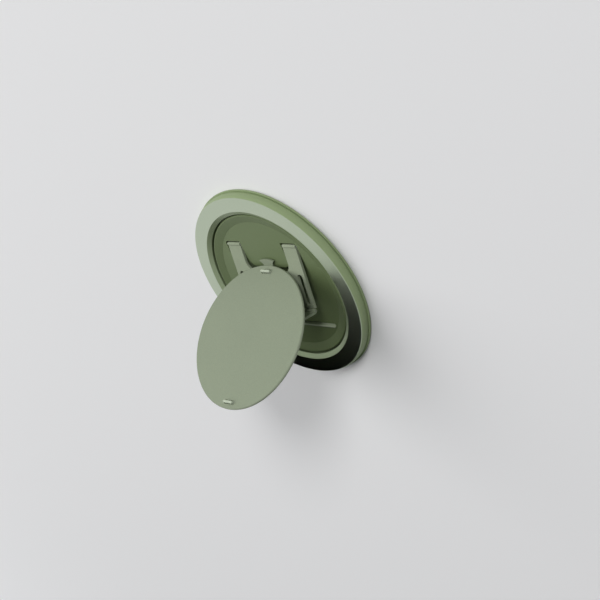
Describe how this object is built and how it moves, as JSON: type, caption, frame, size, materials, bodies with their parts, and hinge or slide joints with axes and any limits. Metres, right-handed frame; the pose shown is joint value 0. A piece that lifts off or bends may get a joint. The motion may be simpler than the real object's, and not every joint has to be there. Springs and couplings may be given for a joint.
{
  "type": "phone grip",
  "caption": "Round phone grip and stand: a flat ring base with a turning dish, and a disc that folds out on a hinged leg.",
  "frame": {"origin": "centre of the back face, on the base's axis", "axes": "+Z out of the back face along the base's axis, +Y from the disc's low edge side to its heel side, +X along the hinge pins"},
  "size_m": [0.0566, 0.0566, 0.0333],
  "materials": {
    "base_metal": "satin anodised, sage green",
    "dish_metal": "fine blasted, anodised sage green",
    "disc_metal": "fine blasted, anodised sage green",
    "leg_metal": "matte sage green coat",
    "stud_plastic": "matte, pale sage",
    "back_plastic": "matte, dark sage",
    "pad_rubber": "soft matte silicone",
    "steel": "plain steel",
    "magnet": "nickel plated"
  },
  "bodies": {
    "base": {"base_ring": "base_metal", "back_plate": "back_plastic", "back_pad": "pad_rubber", "shield_ring": "steel", "magnet_01": "magnet", "magnet_02": "magnet", "magnet_03": "magnet", "magnet_04": "magnet", "magnet_05": "magnet", "magnet_06": "magnet", "magnet_07": "magnet", "magnet_08": "magnet", "magnet_09": "magnet", "magnet_10": "magnet", "magnet_11": "magnet", "magnet_12": "magnet"},
    "dish": {"turntable": "dish_metal", "dish_rim": "dish_metal", "leg_pin_right": "steel", "leg_pin_left": "steel"},
    "leg": {"leg_frame": "leg_metal", "leaf_pin": "steel"},
    "leaf": {"leaf_plate": "leg_metal"},
    "grip": {"grip_disc": "disc_metal", "hinge_bracket": "leg_metal", "disc_pin": "steel", "upper_stud": "stud_plastic", "lower_stud": "stud_plastic"}
  },
  "joints": [
    {"name": "turntable_spin", "type": "hinge", "parent": "base", "child": "dish", "pos_m": [0, 0, 0.001], "axis": [0, 0, 1], "continuous": true},
    {"name": "leg_hinge", "type": "hinge", "parent": "dish", "child": "leg", "pos_m": [0, 0.012, 0.00113], "axis": [1, 0, 0], "range_deg": [0, 9.71]},
    {"name": "leaf_hinge", "type": "hinge", "parent": "leg", "child": "leaf", "pos_m": [0, -0.00567, 0.00457], "axis": [1, 0, 0], "range_deg": [-85.91, 0]},
    {"name": "disc_hinge", "type": "hinge", "parent": "leaf", "child": "grip", "pos_m": [0, -0.00371, 0.01408], "axis": [1, 0, 0], "range_deg": [0, 130.59]}
  ],
  "couplings": [
    {"joint": "leaf_hinge", "follows": "disc_hinge", "ratio": -0.65777},
    {"joint": "leg_hinge", "follows": "disc_hinge", "ratio": 0.074277}
  ]
}
